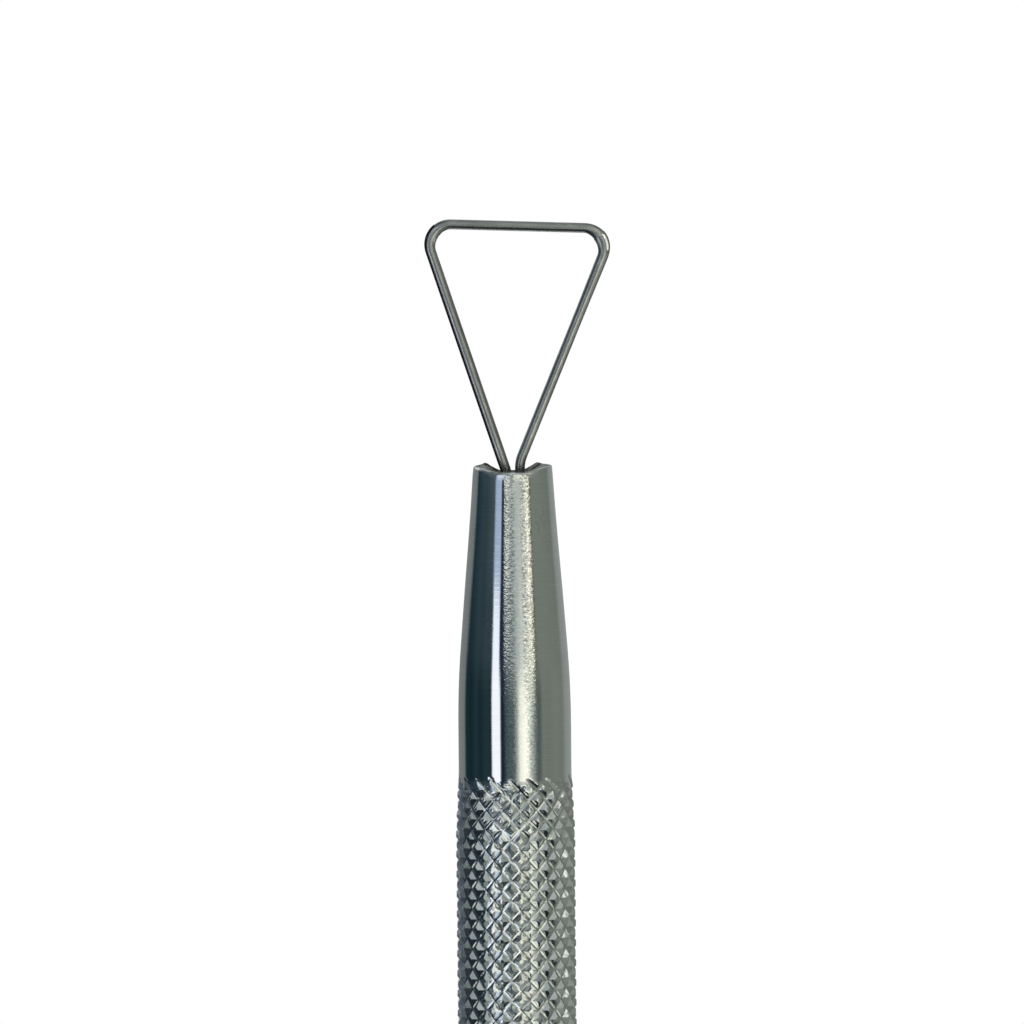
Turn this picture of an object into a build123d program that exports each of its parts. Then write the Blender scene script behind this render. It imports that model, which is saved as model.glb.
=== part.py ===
from build123d import *

import os
from math import cos, radians, sin, tan

# Double-ended cuticle tool: a knurled bar with a wire scraper loop at one end and a spoon pusher at the other.
#
# Own frame, in millimetres: +Z runs along the bar towards the wire loop, the loop lies in the XZ plane,
# the spoon's hollow faces -Y, and the origin is on the bar's axis, half way along the knurled grip.

# ---- Driving dimensions -------------------------------------------------------------------------

# Handle bar
handle_length = 100.0  # from mouth to mouth
grip_radius = 3.0  # over the crests of the knurl
land_radius = 2.85  # smooth bar between a nose and the grip
nose_length = 15.6  # mouth to the first groove of the knurl, land included
land_length = 4.54  # grip to the corner between land and cone, before that corner is rounded
mouth_radius = 1.98  # outside, at the very end of a nose
nose_blend_radius = 50.0  # large round where the cone runs into the land
rim_round = 0.12  # outer edge of each mouth
knurl_start_radius = 2.90  # crests of the first row, before the knurl reaches full depth
knurl_run_in = 3.2  # length over which the crests rise to grip_radius

# Sockets drilled into the noses
socket_depth = 8.0
front_socket_gap = 0.18  # from the outermost leg to the wall, filled by braze
rear_socket_gap = 0.15  # round the shank, filled by braze
socket_countersink = 0.20

# Saddle pressed into the front mouth, so that the loop's legs can spread sideways over it
saddle_radius = 3.4
saddle_depth = 0.30

# Wire loop
wire_radius = 0.25
loop_half_angle = 20.4  # degrees, between a leg and the loop's own centre-line
loop_lean = 2.0  # degrees, lean of the whole loop towards +X
loop_height = 12.94  # apex of the leg centre-lines to the centre-line of the top bar
apex_drop = 0.94  # apex of the leg centre-lines below the mouth
apex_offset = -0.105  # apex from the bar's axis, along X
corner_radius = 1.05  # centre-line radius of the two top corners
left_leg_x = -0.32  # centre-line of the left leg in the socket
right_leg_x = 0.37  # centre-line of the right leg in the socket
left_bend_radius = 0.90  # where the left leg turns down into the socket
right_bend_radius = 1.70  # where the right leg turns down into the socket
leg_clearance = 0.6  # bottom of the legs above the socket's floor

# Spoon pusher
shank_radius = 1.15
shank_length = 0.8  # straight shank outside the rear mouth
neck_length = 2.2  # end of the straight shank to the narrowest place
neck_thinning = 0.10  # how much flatter than the shank the neck is, on each face
spoon_reach = 14.5  # rear mouth to the tip of the spoon
spoon_width = 5.2
shoulder_from_tip = 7.6  # where the neck opens into the spoon
shoulder_width = 3.2
shoulder_thickness = 1.8
belly_from_tip = 3.4  # widest place, and the start of the rounded end
belly_thickness = 1.4
tip_thickness = 1.0  # before the hollow is cut
spoon_bow = 0.40  # how far the spoon's middle stands back from the bar's axis
hollow_across = 3.8  # radius of the front hollow across the spoon
hollow_along = 14.0  # radius of the front hollow along the spoon
hollow_depth = 0.35  # deepest point of the hollow behind the bar's axis
hollow_from_tip = 2.0  # deepest point of the hollow above the tip

# Braze
front_braze_recess = 0.55  # below the mouth plane
rear_braze_recess = 0.25

# ---- Worked-out sizes ---------------------------------------------------------------------------

front_mouth = handle_length / 2
rear_mouth = -front_mouth
grip_end = front_mouth - nose_length
cone_foot = grip_end + land_length

front_socket_radius = max(-left_leg_x, right_leg_x) + wire_radius + front_socket_gap
rear_socket_radius = shank_radius + rear_socket_gap
socket_floor_front = front_mouth - socket_depth
socket_floor_rear = rear_mouth + socket_depth

os.makedirs("parts", exist_ok=True)


def on_leg(angle, distance):
    """A point on a leg's centre-line, that far from the apex and leaning by that many degrees."""
    x = apex_offset + distance * sin(radians(angle))
    z = front_mouth - apex_drop + distance * cos(radians(angle))
    return x, z


def leg_bend(angle, socket_x):
    """Where a leg's slanting centre-line meets the straight line it follows down the socket."""
    return socket_x, front_mouth - apex_drop + (socket_x - apex_offset) / tan(radians(angle))


# ---- Handle: one turned bar, knurled in the middle, with a nose and a socket at each end ---------

with BuildPart() as handle:
    with BuildSketch(Plane.XZ):
        with BuildLine() as upper_outline:
            Polyline(
                (0, 0),
                (grip_radius, 0),
                (grip_radius, grip_end - knurl_run_in),
                (knurl_start_radius, grip_end),
                (land_radius, grip_end),
                (land_radius, cone_foot),
                (mouth_radius, front_mouth),
                (0, front_mouth),
                close=True,
            )
        make_face()
        cone_corner = vertices().sort_by_distance((land_radius, cone_foot))[0]
        fillet(cone_corner, radius=nose_blend_radius)
        rim_corner = vertices().sort_by_distance((mouth_radius, front_mouth))[0]
        fillet(rim_corner, radius=rim_round)
        mirror(about=Plane.XZ)
    revolve(axis=Axis.Z)

    # Blind sockets
    with BuildSketch(Plane.XY.offset(socket_floor_front)):
        Circle(front_socket_radius)
    extrude(amount=socket_depth, mode=Mode.SUBTRACT)
    with BuildSketch(Plane.XY.offset(rear_mouth)):
        Circle(rear_socket_radius)
    extrude(amount=socket_depth, mode=Mode.SUBTRACT)
    rear_bore_edge = edges().filter_by(GeomType.CIRCLE).group_by(Axis.Z)[0].sort_by(SortBy.RADIUS)[0]
    chamfer(rear_bore_edge, socket_countersink)
    front_bore_edge = edges().filter_by(GeomType.CIRCLE).group_by(Axis.Z)[-1].sort_by(SortBy.RADIUS)[0]
    chamfer(front_bore_edge, socket_countersink)

    # Saddle across the front mouth
    with BuildSketch(Plane.XZ):
        with Locations((0, front_mouth + saddle_radius - saddle_depth)):
            Circle(saddle_radius)
    extrude(amount=mouth_radius + 1, both=True, mode=Mode.SUBTRACT)

handle.part.label = "handle"
export_step(handle.part, "parts/handle.step")

# ---- Scraper loop: one length of round wire bent to a triangle, its two legs side by side --------

left_angle = loop_lean - loop_half_angle
right_angle = loop_lean + loop_half_angle
leg_length = loop_height / cos(radians(loop_half_angle))
leg_foot = socket_floor_front + leg_clearance

with BuildPart() as scraper_loop:
    with BuildLine(Plane.XZ) as wire_path:
        FilletPolyline(
            (left_leg_x, leg_foot),
            leg_bend(left_angle, left_leg_x),
            on_leg(left_angle, leg_length),
            on_leg(right_angle, leg_length),
            leg_bend(right_angle, right_leg_x),
            (right_leg_x, leg_foot),
            radius=(left_bend_radius, corner_radius, corner_radius, right_bend_radius),
        )
    with BuildSketch(Plane.XY.offset(leg_foot)):
        with Locations((left_leg_x, 0)):
            Circle(wire_radius)
    sweep()

scraper_loop.part.label = "scraper_loop"
export_step(scraper_loop.part, "parts/scraper_loop.step")

# ---- Braze that fills the front socket round both legs -------------------------------------------

with BuildPart() as loop_braze:
    with BuildSketch(Plane.XY.offset(socket_floor_front)):
        Circle(front_socket_radius)
    extrude(amount=socket_depth - front_braze_recess)
    add(scraper_loop.part, mode=Mode.SUBTRACT)

loop_braze.part.label = "loop_braze"
export_step(loop_braze.part, "parts/loop_braze.step")

# ---- Pusher: round shank forged out into a hollowed spoon ----------------------------------------

spoon_tip = rear_mouth - spoon_reach

# Sections along the spoon: distance from the rear mouth, half-width, half-thickness, set-back
spoon_sections = [
    (shank_length, shank_radius, shank_radius, 0),
    (shank_length + neck_length, shank_radius, shank_radius - neck_thinning, 0),
    (spoon_reach - shoulder_from_tip, shoulder_width / 2, shoulder_thickness / 2, spoon_bow / 2),
    (spoon_reach - belly_from_tip, spoon_width / 2, belly_thickness / 2, spoon_bow),
    (spoon_reach, spoon_width / 2, tip_thickness / 2, 0),
]

hollow_height = spoon_tip + hollow_from_tip
hollow_axis = Axis((0, hollow_depth - hollow_along, hollow_height), (1, 0, 0))

with BuildPart() as pusher:
    for distance, half_width, half_thickness, set_back in spoon_sections:
        with BuildSketch(Plane.XY.offset(rear_mouth - distance)):
            with Locations((0, set_back)):
                Ellipse(half_width, half_thickness)
    loft()

    # Rounded end
    with BuildSketch(Plane.XZ):
        with Locations((0, spoon_tip + belly_from_tip)):
            Ellipse(spoon_width / 2, belly_from_tip)
            Rectangle(2 * spoon_width, spoon_reach, align=(Align.CENTER, Align.MIN))
    extrude(amount=spoon_width, both=True, mode=Mode.INTERSECT)

    # Hollow of the front face, rounded both across and along
    with BuildSketch(Plane.XY.offset(hollow_height)):
        with Locations((0, hollow_depth - hollow_across)):
            Circle(hollow_across)
    revolve(axis=hollow_axis, mode=Mode.SUBTRACT)

    # Shank, standing on the floor of the rear socket
    with BuildSketch(Plane.XY.offset(rear_mouth - shank_length)):
        Circle(shank_radius)
    extrude(amount=shank_length + socket_depth)

pusher.part.label = "pusher"
export_step(pusher.part, "parts/pusher.step")

# ---- Braze ring round the shank in the rear socket -----------------------------------------------

with BuildPart() as pusher_braze:
    with BuildSketch(Plane.XY.offset(socket_floor_rear)):
        Circle(rear_socket_radius)
        Circle(shank_radius, mode=Mode.SUBTRACT)
    extrude(amount=rear_braze_recess - socket_depth)

pusher_braze.part.label = "pusher_braze"
export_step(pusher_braze.part, "parts/pusher_braze.step")
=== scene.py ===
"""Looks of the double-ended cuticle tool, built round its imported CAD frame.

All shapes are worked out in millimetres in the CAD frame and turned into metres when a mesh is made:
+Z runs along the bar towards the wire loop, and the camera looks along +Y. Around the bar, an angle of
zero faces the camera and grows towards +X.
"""

from math import acos, atan, ceil, cos, degrees, floor, hypot, pi, radians, sin, sqrt, tan

import bpy
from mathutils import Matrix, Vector, noise


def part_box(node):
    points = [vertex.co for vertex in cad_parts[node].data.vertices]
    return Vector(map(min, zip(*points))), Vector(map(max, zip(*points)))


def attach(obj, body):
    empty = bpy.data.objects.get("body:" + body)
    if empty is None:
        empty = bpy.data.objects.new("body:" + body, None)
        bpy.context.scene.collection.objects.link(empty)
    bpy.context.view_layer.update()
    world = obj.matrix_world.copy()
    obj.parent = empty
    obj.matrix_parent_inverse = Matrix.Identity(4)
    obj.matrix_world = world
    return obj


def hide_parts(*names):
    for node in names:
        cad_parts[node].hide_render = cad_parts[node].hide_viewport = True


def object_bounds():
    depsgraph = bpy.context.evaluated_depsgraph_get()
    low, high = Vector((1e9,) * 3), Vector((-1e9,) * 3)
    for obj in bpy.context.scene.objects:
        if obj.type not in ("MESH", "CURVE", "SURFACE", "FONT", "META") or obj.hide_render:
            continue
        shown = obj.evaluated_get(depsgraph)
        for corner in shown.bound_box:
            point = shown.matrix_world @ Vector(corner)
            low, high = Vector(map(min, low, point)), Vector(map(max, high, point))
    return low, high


MM = 0.001

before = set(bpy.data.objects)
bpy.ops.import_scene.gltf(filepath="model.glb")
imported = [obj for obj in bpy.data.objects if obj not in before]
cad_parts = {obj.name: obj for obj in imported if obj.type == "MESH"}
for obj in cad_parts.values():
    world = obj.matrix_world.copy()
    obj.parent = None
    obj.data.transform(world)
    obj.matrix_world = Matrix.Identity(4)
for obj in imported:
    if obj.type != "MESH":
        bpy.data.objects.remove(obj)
cad_low, cad_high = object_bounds()
scene = bpy.context.scene

# ---- Sizes, in millimetres ----------------------------------------------------------------------

FRONT_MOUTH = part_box("handle")[1].z / MM
GRIP_RADIUS = 3.0
LAND_RADIUS = 2.85
MOUTH_RADIUS = 1.98
NOSE_LENGTH = 15.6
LAND_LENGTH = 4.54
NOSE_BLEND_RADIUS = 50.0
MOUTH_HOLLOW = 0.018  # the cone is this much hollow just behind the mouth
GRIP_END = FRONT_MOUTH - NOSE_LENGTH
RIM_ROUND = 0.12
SOCKET_DEPTH = 8.0
FRONT_SOCKET_RADIUS = 0.80
REAR_SOCKET_RADIUS = 1.30
BRAZE_GAP = 0.002  # each braze's mesh stops this short of its socket's wall

# Knurl: two families of helical grooves, "A" running down to the right and "B" down to the left
STARTS = 19
PITCH = 1.010
PHASE_A, PHASE_B = 0.138, 0.366  # where each family starts round the bar, in groove spacings
GROOVE_DEPTH = 0.215
FIRST_CREST = 2.90
CREST_RUN_IN = 3.2
TOP_HALF = 0.13  # half-size of a pyramid's flat top, in groove spacings
ROOT_HALF = 0.10  # half-width of the shallow bottom of a groove
ROOT_SLOPE = 0.25  # its slope, as a share of the flanks' slope
SHOULDER_ROUND = 0.03  # width of the bevel round each flat top, in groove spacings
FIRST_START = 0.16  # the A grooves start this far out on the land
LATE_START_B = 0.42  # the B grooves start this much further from the nose
RUN_OUTS = (1.00, 0.40)  # lengths over which A and B grooves come up to the surface
FINE = 12  # divisions of a groove spacing where grooves run out
FINE_ZONE = 1.6  # length of the finely divided knurl, inwards from the end of the grip
KNURL_MARGIN = 0.30  # the knurl's mesh reaches this far out on the land

# Wire loop
WIRE_RADIUS = 0.25
HALF_ANGLE = radians(20.4)
LEAN = radians(2.0)
LOOP_HEIGHT = 12.94
APEX_X, APEX_DROP = -0.105, 0.94
CORNER_RADIUS = 1.05
LEFT_LEG_X = -0.32
RIGHT_LEG_X = 0.37
LEFT_BEND_RADIUS = 0.90
RIGHT_BEND_RADIUS = 1.70
LEG_FOOT = FRONT_MOUTH - SOCKET_DEPTH + 0.6
WIRE_SIDES = 56
ARC_SPACING, RUN_SPACING = 0.06, 0.30  # between the wire's rings, in its bends and on its straight runs
# How much wider than round the wire is: at each corner, on the top of the right leg, and along the left leg
LEFT_CORNER_WIDER, RIGHT_CORNER_WIDER = 0.16, 0.30
RIGHT_LEG_WIDER, LEFT_LEG_WIDER = 0.10, 0.06
# Nick in the right corner: its place from the corner, its depth and the degrees it spans
NICK_PLACE = Vector((-0.55, -0.72))
NICK_DEPTH = 0.055
NICK_FROM, NICK_TO = 27, 52
# Painted shade: a dark line painted along the outer side of the left leg, in degrees round the wire from its
# inner side
PAINTED_SHADE_FROM, PAINTED_SHADE_TO = 121, 235

# Spoon
SHANK_RADIUS = 1.15
SPOON_REACH = 14.5


# ---- Small helpers ------------------------------------------------------------------------------


def smooth(low, high, x):
    """Smooth step from 0 at low to 1 at high."""
    t = min(max((x - low) / (high - low), 0.0), 1.0)
    return t * t * (3 - 2 * t)


def around(angle, radius, z):
    """The point at that angle round the bar, in millimetres."""
    return radius * sin(angle), -radius * cos(angle), z


def make_object(name, points, faces, smooth_faces=True):
    """A mesh object from points in millimetres."""
    mesh = bpy.data.meshes.new(name)
    mesh.from_pydata([(x * MM, y * MM, z * MM) for x, y, z in points], [], faces)
    mesh.validate()
    if isinstance(smooth_faces, bool):
        smooth_faces = [smooth_faces] * len(mesh.polygons)
    mesh.polygons.foreach_set("use_smooth", smooth_faces)
    obj = bpy.data.objects.new(name, mesh)
    scene.collection.objects.link(obj)
    return obj


def steps(low, high, count):
    return [low + (high - low) * i / count for i in range(count + 1)]


def band(low, high, count):
    """Quads between two closed rings of points, from the index of each ring's first point."""
    return [(low + k, high + k, high + (k + 1) % count, low + (k + 1) % count) for k in range(count)]


def attribute(obj, name, values):
    """One number for each vertex, for the materials to read."""
    layer = obj.data.attributes.new(name, "FLOAT", "POINT")
    layer.data.foreach_set("value", values)


# ---- Knurl --------------------------------------------------------------------------------------


def groove_start(family, line):
    """Distance from the middle of the bar where this groove begins; no two are quite alike."""
    uneven = 0.07 * sin(line * 2.4 + family) + 0.05 * sin(line * 5.1 + 2 * family)
    return GRIP_END + FIRST_START - family * LATE_START_B + uneven


def crest_radius(z):
    """Radius over the crests, which rise sharply at the first row and then slowly to the full grip."""
    inside = GRIP_END - abs(z)
    first_rise = (FIRST_CREST - LAND_RADIUS) * smooth(-0.1, 0.6, inside)
    return LAND_RADIUS + first_rise + (GRIP_RADIUS - FIRST_CREST) * smooth(0.3, CREST_RUN_IN, inside)


def cut(distance, depth):
    """Depth of one groove at that distance from its middle, in groove spacings."""
    slope = GROOVE_DEPTH / (0.5 - TOP_HALF - (1 - ROOT_SLOPE) * ROOT_HALF)
    shallow = min(distance, ROOT_HALF)
    return depth - slope * (distance - (1 - ROOT_SLOPE) * shallow)


def knurl_radius(a, b):
    """Radius of the knurled surface at helical coordinates a and b."""
    z = (a - b - PHASE_A + PHASE_B) * PITCH / 2
    crest = crest_radius(z)
    deepest = 0.0
    for family, value in ((0, a), (1, b)):
        line = round(value)
        past_start = groove_start(family, line % STARTS) - abs(z)
        depth = GROOVE_DEPTH * min(max(past_start / RUN_OUTS[family], 0.0), 1.0) ** 0.85
        if depth > 0:
            deepest = max(deepest, cut(abs(value - line), depth))
    return crest - deepest


class Lattice:
    """Points shared by neighbouring knurl cells, on a helical lattice FINE times finer than the cells."""

    def __init__(self):
        self.points = []
        self.index = {}

    def vertex(self, a, b):
        """Index of the lattice point (a, b), both in whole fine steps."""
        turn = STARTS * FINE
        wraps = floor((a + b) / (2 * turn))
        key = (a - wraps * turn, b - wraps * turn)
        if key not in self.index:
            helical_a, helical_b = key[0] / FINE, key[1] / FINE
            angle = (helical_a + helical_b - PHASE_A - PHASE_B) * pi / STARTS
            z = (helical_a - helical_b - PHASE_A + PHASE_B) * PITCH / 2
            self.index[key] = len(self.points)
            self.points.append(around(angle, knurl_radius(helical_a, helical_b), z))
        return self.index[key]

    def inner(self, a, b):
        """A point inside one cell, at any helical coordinates."""
        angle = (a + b - PHASE_A - PHASE_B) * pi / STARTS
        z = (a - b - PHASE_A + PHASE_B) * PITCH / 2
        self.points.append(around(angle, knurl_radius(a, b), z))
        return len(self.points) - 1


def height_of(steps_up):
    """z of a lattice row, from its number of fine steps a - b."""
    return (steps_up / FINE - PHASE_A + PHASE_B) * PITCH / 2


def row_at(z):
    """The lattice row nearest to that height."""
    return round((z * 2 / PITCH + PHASE_A - PHASE_B) * FINE)


def knurled_grip(top_row, bottom_row):
    """Points, faces and smooth flags of the knurl between two lattice rows."""
    lattice, faces, smooth_flags = Lattice(), [], []
    fine_from = GRIP_END - FINE_ZONE

    def is_fine(i, j):
        return abs(height_of((i - j) * FINE)) > fine_from - PITCH / 2

    def chain(start, end, fine):
        """Lattice points along one edge of a cell."""
        if not fine:
            return [lattice.vertex(*start), lattice.vertex(*end)]
        return [
            lattice.vertex(
                start[0] + (end[0] - start[0]) * k // FINE,
                start[1] + (end[1] - start[1]) * k // FINE,
            )
            for k in range(FINE + 1)
        ]

    def fine_cell(i, j):
        for u in range(FINE):
            for v in range(FINE):
                a, b = i * FINE + u, j * FINE + v
                left, bottom = lattice.vertex(a, b), lattice.vertex(a, b + 1)
                right, top = lattice.vertex(a + 1, b + 1), lattice.vertex(a + 1, b)
                row = a - b
                if row > top_row or row < bottom_row:
                    halves = []
                elif row == top_row:
                    halves = [(left, bottom, right)]
                elif row == bottom_row:
                    halves = [(left, right, top)]
                elif u + v + 1 == FINE:
                    halves = [(left, bottom, top), (bottom, right, top)]
                else:
                    halves = [(left, bottom, right), (left, right, top)]
                faces.extend(halves)
                smooth_flags.extend([True] * len(halves))

    def coarse_cell(i, j):
        middle = (i + 0.5, j + 0.5)
        corners = [(0, 0), (0, 1), (1, 1), (1, 0)]
        neighbours = [(i - 1, j), (i, j + 1), (i + 1, j), (i, j - 1)]
        rings = []
        for size in (0.5 - ROOT_HALF, TOP_HALF + SHOULDER_ROUND, TOP_HALF):
            rings.append(
                [
                    lattice.inner(middle[0] + (2 * u - 1) * size, middle[1] + (2 * v - 1) * size)
                    for u, v in corners
                ]
            )
        apex = lattice.inner(*middle)
        for side in range(4):
            after = (side + 1) % 4
            start = ((i + corners[side][0]) * FINE, (j + corners[side][1]) * FINE)
            end = ((i + corners[after][0]) * FINE, (j + corners[after][1]) * FINE)
            outer = chain(start, end, is_fine(*neighbours[side]))
            faces.append((*outer, rings[0][after], rings[0][side]))
            for low, high in zip(rings, rings[1:]):
                faces.append((low[side], low[after], high[after], high[side]))
            faces.append((rings[-1][side], rings[-1][after], apex))
            smooth_flags.extend([True] + [False] * 3)

    lowest, highest = floor(bottom_row / FINE) - 1, ceil(top_row / FINE) + 1
    for up in range(lowest, highest + 1):
        for j in range(-up // 2 - 1, -up // 2 + STARTS + 2):
            i = j + up
            if not 0 <= i + j < 2 * STARTS:
                continue
            if is_fine(i, j):
                fine_cell(i, j)
            else:
                coarse_cell(i, j)
    return lattice, faces, smooth_flags


# ---- Handle -------------------------------------------------------------------------------------


def nose_radius(below_mouth):
    """Radius of the smooth nose at that distance from the mouth plane: cone, blend and land."""
    cone_length = NOSE_LENGTH - LAND_LENGTH
    slope = (LAND_RADIUS - MOUTH_RADIUS) / cone_length
    tangent = NOSE_BLEND_RADIUS * tan(atan(slope) / 2)
    if below_mouth < cone_length - tangent:
        hollow = MOUTH_HOLLOW * smooth(0, 2.5, below_mouth) * smooth(7, 3, below_mouth)
        return MOUTH_RADIUS + slope * below_mouth - hollow
    if below_mouth > cone_length + tangent:
        return LAND_RADIUS
    past = cone_length + tangent - below_mouth
    return LAND_RADIUS - NOSE_BLEND_RADIUS + sqrt(NOSE_BLEND_RADIUS**2 - past**2)


def saddle(x, y):
    """Depth of the dip pressed across the front mouth; it is deeper and steeper at the back."""
    back = smooth(-1.6, 1.6, y)
    depth = 0.22 + 0.15 * back
    flat = 0.72 - 0.27 * back
    edge = 1.72 - 0.36 * back
    lumps = 0.0
    for middle, height in ((-1.36, 0.07), (1.25, 0.05)):
        lumps += height * back * (1 - smooth(0.0, 0.28, abs(x - middle)))
    return depth * (1 - smooth(flat, edge, abs(x + 0.06))) - lumps


# Rings of the nose's mesh, as distances below the mouth, closer together on the blend and the rim
NOSE_RINGS = (14.3, 13.1, 12.5, 11.9, 11.3, 10.7, 10.1, 9.6, 9.1, 8.0)
NOSE_RINGS += (7.0, 6.0, 5.0, 4.0, 3.0, 2.2, 1.5, 1.0, 0.7, 0.45)
DIP_FADE = 1.6  # the saddle's dip fades out over this length of the wall
LIP_WIDTH = 0.10  # from the socket's wall to where the flat of the mouth ends


def mouth_path(angle, socket_radius, dip, rim_round):
    """(radius, distance below the mouth) from the land over the rim and down the socket, at one angle."""
    path = [(nose_radius(below), below) for below in NOSE_RINGS]

    def settled(radius, below):
        """The same point once the dip is pressed in; it fades out down the wall."""
        x, y, _ = around(angle, radius, 0)
        return radius, below + dip(x, y) * (1 - smooth(0, DIP_FADE, below))

    path = [settled(*point) for point in path]
    rim = nose_radius(0)
    for turn in steps(0, pi / 2, 4):
        path.append(settled(rim - rim_round * (1 - cos(turn)), rim_round * (1 - sin(turn))))
    inner = socket_radius + LIP_WIDTH
    for share in (0.2, 0.5, 0.8, 1.0):
        path.append(settled(rim - rim_round + (inner - rim + rim_round) * share, 0.0))
    x, y, _ = around(angle, inner, 0)
    lip = dip(x, y)
    path.append((socket_radius + 0.03, lip + 0.03))
    path.append((socket_radius, lip + 0.10))
    path.append((socket_radius, lip + 1.2))
    path.append((socket_radius, SOCKET_DEPTH))
    return path


def build_handle():
    """The whole bar as one closed mesh: knurl, both noses and both sockets."""
    top_row, bottom_row = row_at(GRIP_END + KNURL_MARGIN), row_at(-GRIP_END - KNURL_MARGIN)
    lattice, faces, flags = knurled_grip(top_row, bottom_row)
    points = lattice.points

    def finish_end(row, side, socket_radius, dip, round_at):
        starts = [s for s in range(2 * STARTS * FINE) if (s - row) % 2 == 0]
        ring = [lattice.vertex((s + row) // 2, (s - row) // 2) for s in starts]
        angles = [(s / FINE - PHASE_A - PHASE_B) * pi / STARTS for s in starts]
        columns = [mouth_path(angle, socket_radius, dip, round_at(angle)) for angle in angles]
        for level in range(len(columns[0])):
            above = []
            for angle, column in zip(angles, columns):
                radius, below = column[level]
                above.append(len(points))
                points.append(around(angle, radius, side * (FRONT_MOUTH - below)))
            for k in range(len(ring)):
                after = (k + 1) % len(ring)
                quad = (ring[k], ring[after], above[after], above[k])
                faces.append(quad if side > 0 else quad[::-1])
                flags.append(True)
            ring = above
        points.append((0, 0, side * (FRONT_MOUTH - SOCKET_DEPTH)))
        for k in range(len(ring)):
            fan = (ring[k], ring[(k + 1) % len(ring)], len(points) - 1)
            faces.append(fan if side > 0 else fan[::-1])
            flags.append(True)

    finish_end(top_row, 1, FRONT_SOCKET_RADIUS, saddle, lambda angle: RIM_ROUND - 0.05 * sin(angle))
    finish_end(bottom_row, -1, REAR_SOCKET_RADIUS, lambda x, y: 0.0, lambda angle: RIM_ROUND)
    obj = make_object("handle_bar", points, faces, flags)
    obj.data.set_sharp_from_angle(angle=radians(28))
    return obj


# ---- Wire loop ----------------------------------------------------------------------------------


def rounded_path(corners, radii, spacing):
    """Points along straight runs joined by arcs, in the XZ plane, as (x, z) pairs."""
    path = [corners[0]]
    for before, corner, after, radius in zip(corners, corners[1:], corners[2:], radii):
        back = Vector(before) - Vector(corner)
        ahead = Vector(after) - Vector(corner)
        back.normalize()
        ahead.normalize()
        half = acos(max(-1.0, min(1.0, back.dot(ahead)))) / 2
        centre = Vector(corner) + (back + ahead).normalized() * (radius / sin(half))
        first = Vector(corner) + back * (radius / tan(half)) - centre
        last = Vector(corner) + ahead * (radius / tan(half)) - centre
        sweep = pi - 2 * half
        count = max(4, ceil(radius * sweep / spacing))
        turn = first.angle_signed(last)
        for k in range(count + 1):
            step = -turn * k / count
            path.append(
                (
                    centre.x + first.x * cos(step) - first.y * sin(step),
                    centre.y + first.x * sin(step) + first.y * cos(step),
                )
            )
    path.append(corners[-1])
    return path


def divided(path, spacing):
    """The same path with its long straight runs divided."""
    out = [path[0]]
    for start, end in zip(path, path[1:]):
        parts = max(1, round(hypot(end[0] - start[0], end[1] - start[1]) / spacing))
        for k in range(1, parts + 1):
            x = start[0] + (end[0] - start[0]) * k / parts
            z = start[1] + (end[1] - start[1]) * k / parts
            out.append((x, z))
    return out


def loop_corners():
    """Where the wire's straight centre-lines meet, from one foot over the top to the other."""
    apex_z = FRONT_MOUTH - APEX_DROP
    length = LOOP_HEIGHT / cos(HALF_ANGLE)
    corners = []
    for side in (-1, 1):
        lean = LEAN + side * HALF_ANGLE
        leg_x = LEFT_LEG_X if side < 0 else RIGHT_LEG_X
        foot = (leg_x, LEG_FOOT)
        bend = (leg_x, apex_z + (leg_x - APEX_X) / tan(lean))
        top = (APEX_X + length * sin(lean), apex_z + length * cos(lean))
        corners.append([foot, bend, top])
    return corners[0] + corners[1][::-1]


def nick_depth(from_front):
    """Depth of the nick, at that many degrees from the front of the wire outwards."""
    if from_front < NICK_FROM:
        return NICK_DEPTH * smooth(NICK_FROM - 5, NICK_FROM, from_front)
    return NICK_DEPTH * max(0.0, (NICK_TO - from_front) / (NICK_TO - NICK_FROM))


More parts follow.
